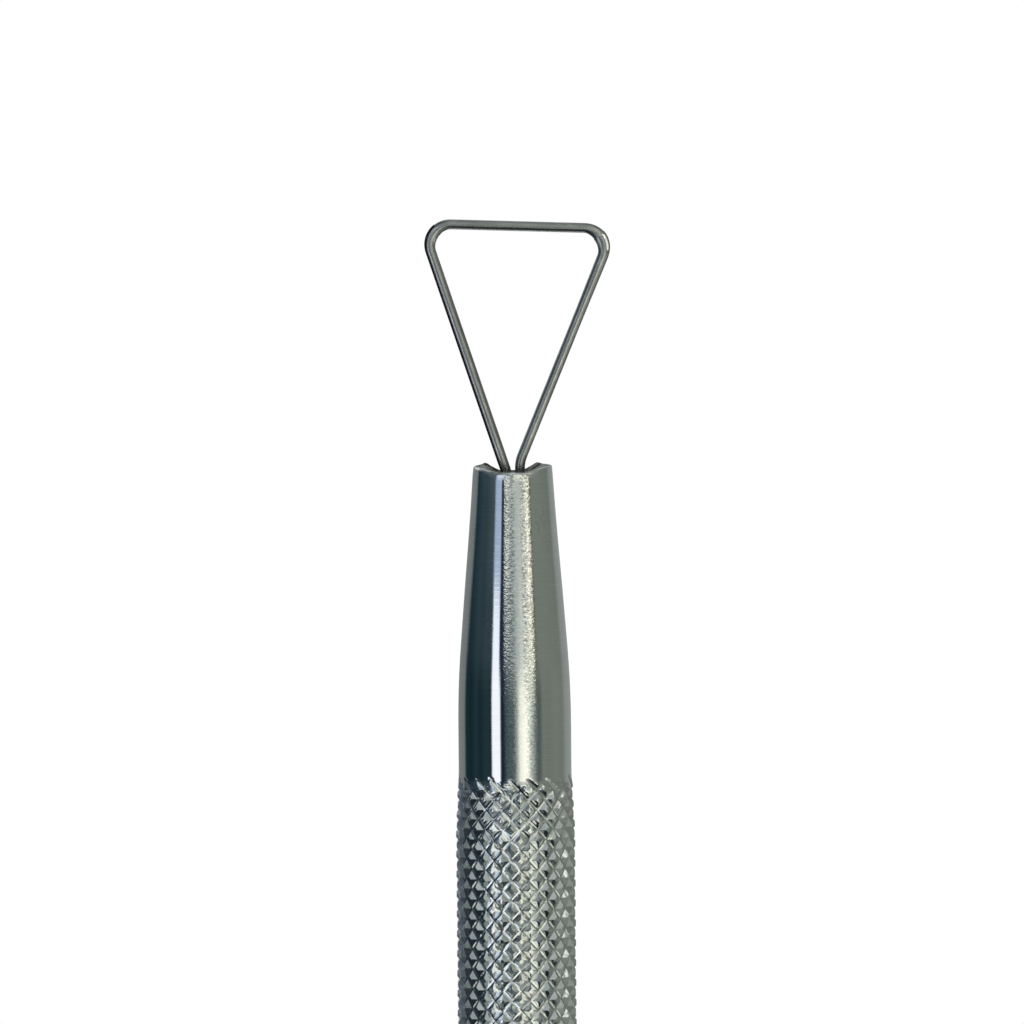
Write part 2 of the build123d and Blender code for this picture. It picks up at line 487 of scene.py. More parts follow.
def build_loop():
    corners = loop_corners()
    radii = (LEFT_BEND_RADIUS, CORNER_RADIUS, CORNER_RADIUS, RIGHT_BEND_RADIUS)
    path = divided(rounded_path(corners, radii, ARC_SPACING), RUN_SPACING)
    left, right = Vector(corners[2]), Vector(corners[3])
    points, faces, along, around_wire, wear_and_highlight, painted_shade = [], [], [], [], [], []
    travelled = 0.0
    for k, (x, z) in enumerate(path):
        before, after = path[max(k - 1, 0)], path[min(k + 1, len(path) - 1)]
        tangent = Vector((after[0] - before[0], after[1] - before[1])).normalized()
        across = Vector((tangent.y, -tangent.x))
        travelled += hypot(x - before[0], z - before[1])
        here = Vector((x, z))
        # The wire is wider and flatter at both corners, the right one more
        squeezed = 1 + LEFT_CORNER_WIDER * (1 - smooth(0.5, 1.6, (here - left).length))
        squeezed += RIGHT_CORNER_WIDER * (1 - smooth(0.5, 1.5, (here - right).length))
        squeezed += RIGHT_LEG_WIDER * (1 - smooth(1.0, 5.0, (here - right).length)) * (z < right.y - 0.3)
        on_left_leg = x < 0.5 * (left.x + right.x) and z < left.y - 0.3
        squeezed += LEFT_LEG_WIDER * on_left_leg
        wide, thin = WIRE_RADIUS * squeezed, WIRE_RADIUS / sqrt(squeezed)
        marked = 1 - smooth(0.20, 0.42, (here - right - NICK_PLACE).length)
        for side in range(WIRE_SIDES):
            angle = 2 * pi * side / WIRE_SIDES
            cut_in = marked * nick_depth(degrees(angle) - 90)
            offset = across * ((wide - cut_in) * cos(angle))
            points.append((x + offset.x, -(thin - cut_in) * sin(angle), z + offset.y))
            along.append(travelled)
            around_wire.append(angle)
            # The nick's vertices are marked for a painted highlight, painted near-white in the wire's
            # material
            wear_and_highlight.append(1.0 if cut_in > 0.004 else 0.0)
            # The outer side of the left leg is marked for a painted shade, a dark line that the wire's
            # material paints
            outer_side = smooth(PAINTED_SHADE_FROM, PAINTED_SHADE_FROM + 10, degrees(angle)) * (degrees(angle) < PAINTED_SHADE_TO)
            painted_shade.append(outer_side * on_left_leg)
    rings = len(path)
    for ring in range(rings - 1):
        faces.extend(band(ring * WIRE_SIDES, (ring + 1) * WIRE_SIDES, WIRE_SIDES))
    faces.append(tuple(range(WIRE_SIDES)))
    faces.append(tuple((rings - 1) * WIRE_SIDES + k for k in reversed(range(WIRE_SIDES))))
    obj = make_object("loop_wire", points, faces)
    attribute(obj, "along", along)
    attribute(obj, "around", around_wire)
    attribute(obj, "wear_and_highlight", wear_and_highlight)
    attribute(obj, "painted_shade", painted_shade)
    return obj


# ---- Braze --------------------------------------------------------------------------------------


def build_front_braze():
    """Uneven fill of the front socket, drawn up round the two legs."""
    rings, sides = 22, 72
    foot = FRONT_MOUTH - SOCKET_DEPTH
    points, faces = [], []

    def surface(x, y):
        climb = 0.0
        for leg in (LEFT_LEG_X, RIGHT_LEG_X):
            gap = hypot(x - leg, y) - WIRE_RADIUS
            climb += 0.20 * (1 - smooth(-0.02, 0.26, gap))
        lumps = noise.noise(Vector((3.1 * x, 3.1 * y, 0.7))) * 0.07
        lumps += noise.noise(Vector((8.0 * x, 8.0 * y, 4.2))) * 0.03
        wall = 0.10 * smooth(0.55, 0.80, hypot(x, y))
        return FRONT_MOUTH - 0.50 + climb + lumps + wall

    for ring in range(1, rings + 1):
        radius = (FRONT_SOCKET_RADIUS - BRAZE_GAP) * ring / rings
        for k in range(sides):
            x, y, _ = around(2 * pi * k / sides, radius, 0)
            points.append((x, y, surface(x, y)))
    centre = len(points)
    points.append((0, 0, surface(0, 0)))
    for ring in range(rings - 1):
        faces.extend(band(ring * sides, (ring + 1) * sides, sides))
    for k in range(sides):
        faces.append((k, (k + 1) % sides, centre))
    rim = (rings - 1) * sides
    low = len(points)
    for k in range(sides):
        x, y, _ = points[rim + k]
        points.append((x, y, foot))
    faces.extend(band(rim, low, sides))
    faces.append(tuple(low + k for k in reversed(range(sides))))
    return make_object("front_braze", points, faces)


def build_rear_braze():
    """Ring of braze between the shank and the rear socket, with a hollow, slightly uneven fillet."""
    sides, levels = 96, 6
    points, faces = [], []
    section = []
    for share in steps(0, 1, levels):
        radius = SHANK_RADIUS - BRAZE_GAP + (REAR_SOCKET_RADIUS - SHANK_RADIUS) * share
        sag = 0.09 * (1 - (2 * share - 1) ** 2)
        section.append((radius, 0.16 + sag - 0.10 * (1 - share)))
    section.append((REAR_SOCKET_RADIUS - BRAZE_GAP, SOCKET_DEPTH))
    section.append((SHANK_RADIUS - BRAZE_GAP, SOCKET_DEPTH))
    for k in range(sides):
        angle = 2 * pi * k / sides
        for level, (radius, below) in enumerate(section):
            uneven = 0.02 * noise.noise(Vector((4 * cos(angle), 4 * sin(angle), level * 0.4)))
            points.append(around(angle, radius, -FRONT_MOUTH + below + (uneven if level <= levels else 0)))
    size = len(section)
    for k in range(sides):
        after = (k + 1) % sides
        for level in range(size):
            beyond = (level + 1) % size
            faces.append((k * size + level, after * size + level, after * size + beyond, k * size + beyond))
    return make_object("rear_braze", points, faces)


# ---- Spoon --------------------------------------------------------------------------------------

BELLY_FROM_TIP = 3.4
# Along the spoon: distance from the rear mouth, half-width, half-thickness, set-back
SPOON_SECTIONS = [
    (0.0, SHANK_RADIUS, SHANK_RADIUS, 0.0),
    (0.8, SHANK_RADIUS, SHANK_RADIUS, 0.0),
    (3.0, SHANK_RADIUS, 1.05, 0.0),
    (6.9, 1.60, 0.90, 0.20),
    (SPOON_REACH - BELLY_FROM_TIP, 2.60, 0.70, 0.40),
    (SPOON_REACH, 2.60, 0.50, 0.0),
]
HOLLOW_ACROSS = 3.8
HOLLOW_ALONG = 14.0
HOLLOW_DEPTH = 0.35
HOLLOW_FROM_TIP = 2.0
LAST_TURN = radians(88.6)  # the last section is just short of the tip, so that it keeps a width


def along_table(table, x, column):
    """A smooth curve through one column of a table, without overshoot between equal values."""
    k = 0
    while k < len(table) - 2 and x > table[k + 1][0]:
        k += 1

    def secant(n):
        return (table[n + 1][column] - table[n][column]) / (table[n + 1][0] - table[n][0])

    def slope(n):
        if n == 0 or n == len(table) - 1:
            return 0.0 if n == 0 else secant(n - 1)
        low, high = secant(n - 1), secant(n)
        return 0.0 if low * high <= 0 else 2 * low * high / (low + high)

    span = table[k + 1][0] - table[k][0]
    t = min(max((x - table[k][0]) / span, 0.0), 1.0)
    start, end = table[k][column], table[k + 1][column]
    return (
        start * (1 + 2 * t) * (1 - t) ** 2
        + end * t * t * (3 - 2 * t)
        + span * slope(k) * t * (1 - t) ** 2
        - span * slope(k + 1) * t * t * (1 - t)
    )


def spoon_outline(distance):
    """Half-width of the spoon in plan, with its rounded end."""
    from_tip = SPOON_REACH - distance
    if from_tip >= BELLY_FROM_TIP:
        return along_table(SPOON_SECTIONS, distance, 1)
    return SPOON_SECTIONS[-1][1] * sqrt(max(0.0, 1 - (1 - from_tip / BELLY_FROM_TIP) ** 2))


def hollow_line(x, distance):
    """y of the hollow's surface."""
    along = SPOON_REACH - HOLLOW_FROM_TIP - distance
    ring = sqrt(HOLLOW_ALONG**2 - along**2)
    return HOLLOW_DEPTH - HOLLOW_ALONG + ring - HOLLOW_ACROSS + sqrt(HOLLOW_ACROSS**2 - x**2)


def spoon_section(distance, across, side_steps):
    """One closed section of the spoon, counter-clockwise from above: back, right side, front, left side."""
    half_width = along_table(SPOON_SECTIONS, distance, 1)
    half_thick = along_table(SPOON_SECTIONS, distance, 2)
    set_back = along_table(SPOON_SECTIONS, distance, 3)
    limit = min(spoon_outline(distance), half_width * 0.985)

    def body(x):
        return half_thick * sqrt(max(0.0, 1 - (x / half_width) ** 2))

    xs = [-limit * cos(pi * k / across) for k in range(across + 1)]
    back = [(x, set_back + body(x)) for x in xs]
    front = [(x, max(set_back - body(x), hollow_line(x, distance))) for x in xs]
    front = [(x, min(y, set_back + body(x) - 0.02)) for x, y in front]

    def side(sign, start, end):
        """The narrow side wall, slightly crowned."""
        out = []
        for k in range(1, side_steps):
            t = k / side_steps
            y = start + (end - start) * t
            bulge = min(half_width - limit, 0.5 * abs(end - start)) if limit < half_width else 0
            out.append((sign * (limit + bulge * sin(pi * t)), y))
        return out

    right = side(1, front[-1][1], back[-1][1])
    left = side(-1, back[0][1], front[0][1])
    return front + right + back[::-1] + left


def build_spoon():
    across, side_steps = 40, 6
    distances = [-SOCKET_DEPTH, -0.5] + steps(0, SPOON_REACH - BELLY_FROM_TIP, 60)
    for turn in steps(0, LAST_TURN, 40)[1:]:
        distances.append(SPOON_REACH - BELLY_FROM_TIP * (1 - sin(turn)))
    points, faces = [], []
    for distance in distances:
        section = spoon_section(max(distance, 0.0), across, side_steps)
        if distance < 0:
            section = [(x * 0.999, y * 0.999) for x, y in section]
        points.extend((x, y, -FRONT_MOUTH - distance) for x, y in section)
    size = len(points) // len(distances)
    for row in range(len(distances) - 1):
        faces.extend(band(row * size, (row + 1) * size, size))
    faces.append(tuple(range(size)))
    last = (len(distances) - 1) * size
    faces.append(tuple(last + k for k in reversed(range(size))))
    obj = make_object("spoon", points, faces)
    obj.data.set_sharp_from_angle(angle=radians(35))
    return obj


# ---- Materials ----------------------------------------------------------------------------------


class Nodes:
    """Short way to write a node tree: each call makes a node and returns one of its outputs."""

    def __init__(self, tree):
        self.tree = tree

    def make(self, kind, inputs=(), out=0, **settings):
        node = self.tree.nodes.new(kind)
        for name, value in settings.items():
            setattr(node, name, value)
        for key, value in dict(inputs).items():
            if isinstance(value, bpy.types.NodeSocket):
                self.tree.links.new(value, node.inputs[key])
            elif value is not None:
                node.inputs[key].default_value = value
        return node.outputs[out]

    def math(self, operation, a, b=None, c=None, clamp=False):
        inputs = {0: a}
        if b is not None:
            inputs[1] = b
        if c is not None:
            inputs[2] = c
        return self.make("ShaderNodeMath", inputs, operation=operation, use_clamp=clamp)

    def times(self, a, b):
        return self.math("MULTIPLY", a, b)

    def plus(self, a, b, clamp=False):
        return self.math("ADD", a, b, clamp=clamp)

    def minus(self, a, b, clamp=False):
        return self.math("SUBTRACT", a, b, clamp=clamp)

    def larger(self, a, b):
        return self.math("MAXIMUM", a, b)

    def separated(self, vector):
        """The three numbers of a vector."""
        return self.make("ShaderNodeSeparateXYZ", {0: vector}).node.outputs

    def stored(self, name):
        """A number kept with each vertex."""
        return self.make("ShaderNodeAttribute", out=2, attribute_name=name)

    def stretched(self, position, x, y, z):
        """The position with each axis multiplied, to draw out a texture along one of them."""
        return self.make("ShaderNodeVectorMath", {0: position, 1: (x, y, z)}, operation="MULTIPLY")

    def noise(self, vector, scale, detail=2.0, roughness=0.5):
        inputs = {"Vector": vector, "Scale": scale, "Detail": detail, "Roughness": roughness}
        return self.make("ShaderNodeTexNoise", inputs)

    def between(self, value, low, high, to_low=0.0, to_high=1.0):
        inputs = {"Value": value, "From Min": low, "From Max": high, "To Min": to_low, "To Max": to_high}
        return self.make("ShaderNodeMapRange", inputs, interpolation_type="SMOOTHSTEP")

    def mix(self, share, a, b):
        """Mix of two colours."""
        inputs = {0: share, 6: a, 7: b}
        return self.make("ShaderNodeMix", inputs, out=2, data_type="RGBA")

    def ramp(self, value, stops):
        node = self.tree.nodes.new("ShaderNodeValToRGB")
        ramp = node.color_ramp
        while len(ramp.elements) < len(stops):
            ramp.elements.new(0.5)
        for element, (place, colour) in zip(ramp.elements, stops):
            element.position = place
            element.color = (*colour, 1.0)
        self.tree.links.new(value, node.inputs[0])
        return node.outputs[0]


def metal(name):
    """A metal material, its nodes, its shader node and the position in millimetres."""
    material = bpy.data.materials.new(name)
    material.use_nodes = True
    nodes = Nodes(material.node_tree)
    shader = material.node_tree.nodes["Principled BSDF"]
    shader.inputs["Metallic"].default_value = 1.0
    place = nodes.make("ShaderNodeTexCoord", out=3)
    position = nodes.stretched(place, 1 / MM, 1 / MM, 1 / MM)
    return material, nodes, shader, position


def bump(nodes, shader, height, distance_mm):
    """Links a height to the shader's normal, with its full height in millimetres."""
    inputs = {"Strength": 1.0, "Distance": distance_mm * MM, "Height": height}
    normal = nodes.make("ShaderNodeBump", inputs)
    nodes.tree.links.new(normal, shader.inputs["Normal"])


def link(nodes, shader, name, value):
    nodes.tree.links.new(value, shader.inputs[name])


WAVE_START = 13.0  # distance from the mouth at which the wave begins
WAVE_HALF_LENGTH = 8.5
WAVE_HEIGHT = 0.035
CRUST_COLOUR = (0.040, 0.035, 0.030, 1)
# Near-black colour of the flux at the feet of the legs, and of the painted shade along the left leg
FLUX_AND_SHADE_COLOUR = (0.018, 0.018, 0.018, 1)


def bar_material():
    """Polished stainless bar: fine lines round it, a grainy zone along the front, and dirt in the knurl."""
    material, nodes, shader, position = metal("polished_bar")
    x, y, z = nodes.separated(position)
    radius = nodes.math("SQRT", nodes.plus(nodes.times(x, x), nodes.times(y, y)))

    height_up = nodes.math("ABSOLUTE", z)
    near_mouth = nodes.between(height_up, GRIP_END + 4.5, FRONT_MOUTH - 4.0)
    on_knurl = nodes.between(height_up, GRIP_END - 0.10, GRIP_END - 0.80)
    depth = nodes.minus(GRIP_RADIUS, radius)
    in_groove = nodes.times(nodes.between(depth, 0.12, 0.30), on_knurl)

    lines = nodes.noise(nodes.stretched(position, 0.5, 0.5, 16.0), 1.0, 3.0, 0.6)
    long_lines = nodes.noise(nodes.stretched(position, 0.16, 0.16, 5.0), 1.0, 2.0, 0.5)
    grain = nodes.noise(position, 3.0, 1.5, 0.5)
    fine_grain = nodes.noise(position, 14.0, 2.0, 0.6)
    blotches = nodes.noise(position, 0.55, 3.0, 0.5)

    # Coarse grain along the front, with a smoother stripe in it, and in odd patches elsewhere
    turn = nodes.math("ARCTAN2", x, nodes.times(y, -1.0))
    front_zone = nodes.times(
        nodes.between(turn, radians(-13), radians(-10)),
        nodes.between(turn, radians(27), radians(21)),
    )
    odd_noise = nodes.noise(nodes.stretched(position, 0.9, 0.9, 0.25), 1.0)
    odd_patches = nodes.between(odd_noise, 0.60, 0.70, 0.0, 0.35)
    coarse = nodes.larger(front_zone, odd_patches)
    towards_mouth = nodes.between(height_up, GRIP_END - 0.2, FRONT_MOUTH - 6.0, 0.45, 1.0)
    coarse = nodes.times(nodes.times(coarse, towards_mouth), nodes.minus(1.0, on_knurl))
    pebbles = nodes.minus(nodes.noise(nodes.stretched(position, 6.8, 6.8, 10.0), 1.0, 2.5, 0.6), 0.5)
    cloudy = nodes.between(blotches, 0.35, 0.65)
    colour = nodes.mix(cloudy, (0.615, 0.635, 0.620, 1), (0.660, 0.670, 0.655, 1))
    wear_and_glints = nodes.mix(nodes.between(lines, 0.30, 0.75), colour, (0.70, 0.71, 0.70, 1))
    specks = nodes.noise(nodes.stretched(position, 7.5, 7.5, 11.0), 1.0, 3.0, 0.65)
    smooth_stripe = nodes.times(
        nodes.between(turn, radians(0), radians(3)),
        nodes.between(turn, radians(12), radians(9)),
    )
    coarse = nodes.times(coarse, nodes.between(smooth_stripe, 0.0, 1.0, 1.0, 0.25))
    pits = nodes.times(coarse, nodes.between(specks, 0.50, 0.60))
    # Painted highlight: the near-white specks in the coarse grain are painted glints
    glints = nodes.times(coarse, nodes.between(specks, 0.46, 0.36))
    wear_and_glints = nodes.mix(nodes.times(pits, 0.70), wear_and_glints, (0.20, 0.22, 0.22, 1))
    wear_and_glints = nodes.mix(glints, wear_and_glints, (0.97, 0.97, 0.95, 1))
    dirt = nodes.times(in_groove, nodes.between(nodes.noise(position, 2.4, 3.0, 0.6), 0.35, 0.70))
    dirt_wear_and_glints = nodes.mix(nodes.times(dirt, 0.22), wear_and_glints, (0.10, 0.10, 0.095, 1))
    # Dark crust on the far side of the front mouth and round the feet of the legs
    burnt_place = nodes.times(
        nodes.between(nodes.plus(radius, nodes.times(y, -0.42)), 1.62, 1.22),
        nodes.between(z, FRONT_MOUTH - 1.2, FRONT_MOUTH - 0.45),
    )
    on_rim = nodes.between(z, FRONT_MOUTH - 0.55, FRONT_MOUTH - 0.38)
    backwards = nodes.minus(y, nodes.math("ABSOLUTE", nodes.times(x, 0.1)))
    far_edge = nodes.between(backwards, 0.55, 0.95)
    left_wing = nodes.between(nodes.plus(x, nodes.times(y, -0.35)), 0.2, -0.5, 0.22, 0.78)
    streak_noise = nodes.noise(nodes.stretched(position, 2.6, 0.8, 2.0), 1.0, 3.0, 0.6)
    streaks = nodes.between(streak_noise, 0.35, 0.60, 0.45, 1.0)
    inside_lip = nodes.between(radius, MOUTH_RADIUS - 0.04, MOUTH_RADIUS - 0.16)
    wing_tint = nodes.times(nodes.times(left_wing, streaks), inside_lip)
    crust = nodes.times(on_rim, nodes.larger(far_edge, wing_tint))
    burnt_place = nodes.larger(burnt_place, crust)
    burnt = nodes.times(burnt_place, nodes.between(grain, 0.30, 0.60, 0.6, 1.0))
    link(nodes, shader, "Base Color", nodes.mix(burnt, dirt_wear_and_glints, CRUST_COLOUR))
    link(nodes, shader, "Metallic", nodes.minus(1.0, burnt))
    shader.inputs["Specular IOR Level"].default_value = 0.0

    rough = nodes.between(lines, 0.25, 0.80, 0.035, 0.08)
    rough = nodes.plus(rough, nodes.times(near_mouth, 0.02))
    rough = nodes.plus(rough, nodes.times(on_knurl, nodes.between(grain, 0.3, 0.7, 0.00, 0.08)))
    rough = nodes.plus(rough, nodes.times(dirt, 0.12))
    rough = nodes.plus(rough, nodes.times(burnt, 0.35), clamp=True)
    link(nodes, shader, "Roughness", rough)

    # One long, shallow wave along each nose, in the shading only
    up_nose = nodes.larger(nodes.minus(height_up, FRONT_MOUTH - WAVE_START), 0.0)
    wave = nodes.math("COSINE", nodes.times(up_nose, pi / WAVE_HALF_LENGTH))
    height = nodes.times(lines, 0.0008)
    height = nodes.plus(height, nodes.times(wave, -WAVE_HEIGHT))
    height = nodes.plus(height, nodes.times(long_lines, 0.0010))
    height = nodes.plus(height, nodes.times(grain, 0.0006))
    height = nodes.plus(height, nodes.times(nodes.times(pebbles, 0.0105), coarse))
    uneven = nodes.minus(grain, 0.5)
    dents = nodes.plus(nodes.times(uneven, 0.016), nodes.times(fine_grain, 0.001))
    height = nodes.plus(height, nodes.times(dents, on_knurl))
    bump(nodes, shader, height, 1.0)
    return material


def wire_material():
    """Drawn spring wire: dull, with lines along it, a few lighter stretches of wear, a painted highlight on
    the nick in the right corner and a painted shade along the outer side of the left leg.
    """
    material, nodes, shader, position = metal("spring_wire")
    along = nodes.stored("along")
    around_wire = nodes.stored("around")
    on_wire = nodes.make(
        "ShaderNodeCombineXYZ",
        {
            0: nodes.times(nodes.math("COSINE", around_wire), WIRE_RADIUS),
            1: nodes.times(nodes.math("SINE", around_wire), WIRE_RADIUS),
            2: along,
        },
    )
    drawn = nodes.noise(nodes.stretched(on_wire, 9.0, 9.0, 0.35), 1.0, 1.5, 0.5)
    patches = nodes.noise(nodes.stretched(on_wire, 3.0, 3.0, 1.1), 1.0, 3.0, 0.6)
    pits = nodes.noise(position, 16.0, 2.0, 0.6)
    colour = nodes.mix(nodes.between(drawn, 0.30, 0.70), (0.29, 0.295, 0.285, 1), (0.38, 0.385, 0.375, 1))
    wear_and_highlight = nodes.mix(nodes.between(patches, 0.52, 0.74, 0.0, 0.6), colour, (0.54, 0.545, 0.53, 1))
    pitted = nodes.mix(nodes.between(pits, 0.62, 0.75, 0.0, 0.6), wear_and_highlight, (0.12, 0.11, 0.10, 1))
    # Painted highlight: the nick in the right corner is painted near-white and made smoother
    painted_highlight = nodes.between(nodes.stored("wear_and_highlight"), 0.25, 0.75)
    bare = nodes.mix(painted_highlight, pitted, (0.97, 0.97, 0.96, 1))
    foot_flux = nodes.times(
        nodes.between(nodes.separated(position)[2], FRONT_MOUTH + 0.30, FRONT_MOUTH - 0.15),
        nodes.between(pits, 0.35, 0.60, 0.2, 0.9),
    )
    # Painted shade: a dark line painted along the outer side of the left leg; the flux at the feet of the
    # legs is the wire's own colour
    painted_shade = nodes.stored("painted_shade")
    broken_painted_shade = nodes.times(painted_shade, nodes.between(patches, 0.20, 0.40, 0.75, 1.0))
    dull = nodes.larger(foot_flux, broken_painted_shade)
    link(nodes, shader, "Base Color", nodes.mix(dull, bare, FLUX_AND_SHADE_COLOUR))
    link(nodes, shader, "Metallic", nodes.minus(1.0, dull))
    shader.inputs["Specular IOR Level"].default_value = 0.0
    roughness = nodes.between(patches, 0.30, 0.70, 0.31, 0.22)
    roughness = nodes.minus(roughness, nodes.times(painted_highlight, 0.12), clamp=True)
    link(nodes, shader, "Roughness", roughness)
    height = nodes.plus(nodes.times(drawn, 0.5), nodes.times(pits, 0.10))
    bump(nodes, shader, height, 0.004)
    return material


def braze_material():
    """Braze blackened by flux, with bare metal showing on its high places."""
    material, nodes, shader, position = metal("braze")
    lumps = nodes.noise(position, 3.5, 4.0, 0.6)
    specks = nodes.noise(position, 11.0, 3.0, 0.6)
    colour = nodes.mix(nodes.between(lumps, 0.35, 0.65), (0.050, 0.043, 0.038, 1), (0.20, 0.185, 0.16, 1))
    bare = nodes.between(specks, 0.60, 0.74)
    link(nodes, shader, "Base Color", nodes.mix(bare, colour, (0.55, 0.54, 0.50, 1)))
    link(nodes, shader, "Roughness", nodes.between(specks, 0.35, 0.70, 0.60, 0.32))
    shader.inputs["Metallic"].default_value = 0.25
    shader.inputs["Specular IOR Level"].default_value = 0.1
    bump(nodes, shader, nodes.plus(lumps, nodes.times(specks, 0.4)), 0.03)
    return material


def spoon_material():
    """Forged and ground steel: satin lines along the spoon, with slightly brighter clouds."""
    material, nodes, shader, position = metal("ground_steel")
    ground = nodes.noise(nodes.stretched(position, 14.0, 14.0, 0.5), 1.0, 3.0, 0.6)
    clouds = nodes.noise(position, 0.7, 3.0, 0.5)
    grain = nodes.noise(position, 9.0, 2.0, 0.6)
    colour = nodes.mix(nodes.between(clouds, 0.35, 0.65), (0.56, 0.57, 0.56, 1), (0.66, 0.67, 0.66, 1))
    bright_lines = nodes.between(ground, 0.35, 0.75)
    link(nodes, shader, "Base Color", nodes.mix(bright_lines, colour, (0.72, 0.72, 0.71, 1)))
    link(nodes, shader, "Roughness", nodes.between(ground, 0.30, 0.75, 0.24, 0.14))
    height = nodes.plus(nodes.times(ground, 0.5), nodes.times(grain, 0.4))
    bump(nodes, shader, height, 0.004)
    return material


# ---- Pieces -------------------------------------------------------------------------------------

bar_metal = bar_material()
wire_metal = wire_material()
braze_metal = braze_material()
spoon_metal = spoon_material()

PIECES = [
    (build_handle(), "handle", "polished_bar", bar_metal),
    (build_loop(), "scraper_loop", "spring_wire", wire_metal),
    (build_front_braze(), "loop_braze", "braze", braze_metal),
    (build_spoon(), "pusher", "forged_steel", spoon_metal),
    (build_rear_braze(), "pusher_braze", "braze", braze_metal),
]
for obj, node, slot, material in PIECES:
    obj.data.materials.append(material)
    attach(obj, "root")
    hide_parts(node)

# ---- Floor --------------------------------------------------------------------------------------

# In metres
FLOOR_RINGS = (0.1, 0.3, 3.0)
FLOOR_DROP = 0.0008


def build_floor():
    """A pale round floor that fades into the white around it, hidden from the tool's reflections."""
    sides = 96
    level = (cad_low.z - FLOOR_DROP) / MM
    points = [(0, 0, level)]
    for radius in FLOOR_RINGS:
        points.extend(around(2 * pi * k / sides, radius / MM, level) for k in range(sides))
    faces = [(0, 1 + k, 1 + (k + 1) % sides) for k in range(sides)]
    for ring in range(2):
        faces.extend(band(1 + ring * sides, 1 + (ring + 1) * sides, sides))
    obj = make_object("floor", points, faces)
    material = bpy.data.materials.new("floor")
    material.use_nodes = True
    nodes = Nodes(material.node_tree)
    shader = material.node_tree.nodes["Principled BSDF"]
    shader.inputs["Roughness"].default_value = 0.7
    shader.inputs["Base Color"].default_value = (0.90, 0.90, 0.89, 1)
    place = nodes.make("ShaderNodeTexCoord", out=3)
    reach = nodes.make("ShaderNodeVectorMath", {0: place}, out=1, operation="LENGTH")
    white = nodes.make("ShaderNodeEmission", {"Color": (1, 1, 1, 1), "Strength": 1.0})
    share = nodes.between(reach, 0.02, 0.30, 0.55, 1.0)
    both = nodes.make("ShaderNodeMixShader", {0: share, 1: shader.outputs[0], 2: white})
    nodes.tree.links.new(both, nodes.tree.nodes["Material Output"].inputs["Surface"])
    obj.data.materials.append(material)
    obj.visible_glossy = False
    obj.visible_diffuse = False
    return obj


build_floor()

# ---- Studio -------------------------------------------------------------------------------------

# Rings of the studio as the metal sees it: colours by bearing, in degrees round from the camera, towards +X.
# This isn't a plain studio: its strips and flags are set for this one tool, seen from the front.
BEHIND_LEFT = [
    (-180, (0.15, 0.16, 0.16)),
    (-165, (0.26, 0.28, 0.28)),
]
BEHIND_RIGHT = [
    (126, (0.32, 0.35, 0.34)),
    (166, (0.36, 0.39, 0.38)),
    (180, (0.15, 0.16, 0.16)),
]
CONE_LEFT = [
    *BEHIND_LEFT,
    (-121, (0.22, 0.24, 0.25)),
    (-113, (0.020, 0.042, 0.052)),
    (-100, (0.036, 0.062, 0.080)),
    (-86, (0.046, 0.076, 0.092)),
    (-74, (0.042, 0.072, 0.088)),
    (-64, (0.060, 0.090, 0.105)),
    (-51, (0.075, 0.105, 0.125)),
    (-47, (0.43, 0.56, 0.78)),
    (-32, (0.50, 0.62, 0.84)),
    (-30, (0.016, 0.026, 0.050)),
    (-24, (0.030, 0.045, 0.080)),
]
CONE_RIGHT = [
    (34, (0.60, 0.62, 0.57)),
    (38, (1.66, 1.62, 1.36)),
    (43, (1.58, 1.54, 1.18)),
    (46, (0.17, 0.15, 0.11)),
    (52, (0.235, 0.27, 0.24)),
    (70, (0.235, 0.27, 0.24)),
    (84, (0.225, 0.255, 0.22)),
    (114, (0.20, 0.235, 0.20)),
    *BEHIND_RIGHT,
]
UNDERNEATH_RING = [
    (-180, (0.05, 0.06, 0.07)),
    (-135, (0.10, 0.12, 0.14)),
    (-110, (0.16, 0.19, 0.23)),
    (-80, (0.05, 0.06, 0.07)),
    (-30, (0.018, 0.024, 0.032)),
    (5, (0.025, 0.030, 0.036)),
    (18, (0.26, 0.29, 0.27)),
    (50, (0.32, 0.35, 0.33)),
    (92, (0.20, 0.22, 0.21)),
    (130, (0.22, 0.24, 0.23)),
    (150, (0.20, 0.22, 0.21)),
    (180, (0.05, 0.06, 0.07)),
]
LOW_RING = [
    (-180, (0.03, 0.04, 0.05)),
    (-150, (0.04, 0.05, 0.06)),
    (-125, (0.12, 0.14, 0.18)),
    (-110, (0.04, 0.05, 0.06)),
    (-84, (0.04, 0.05, 0.06)),
    (-80, (0.90, 0.92, 0.88)),
    (-70, (0.90, 0.92, 0.88)),
    (-66, (0.04, 0.05, 0.06)),
    (-52, (0.04, 0.06, 0.08)),
    (-46, (1.35, 1.50, 1.75)),
    (-24, (1.35, 1.50, 1.75)),
    (-14, (0.50, 0.60, 0.72)),
    (-4, (0.20, 0.23, 0.24)),
    (4, (1.30, 1.34, 1.20)),
    (30, (1.50, 1.52, 1.35)),
    (38, (0.52, 0.55, 0.50)),
    (46, (0.75, 0.78, 0.70)),
    (78, (0.88, 0.91, 0.82)),
    (86, (0.24, 0.26, 0.25)),
    (170, (0.20, 0.22, 0.21)),
    (180, (0.03, 0.04, 0.05)),
]
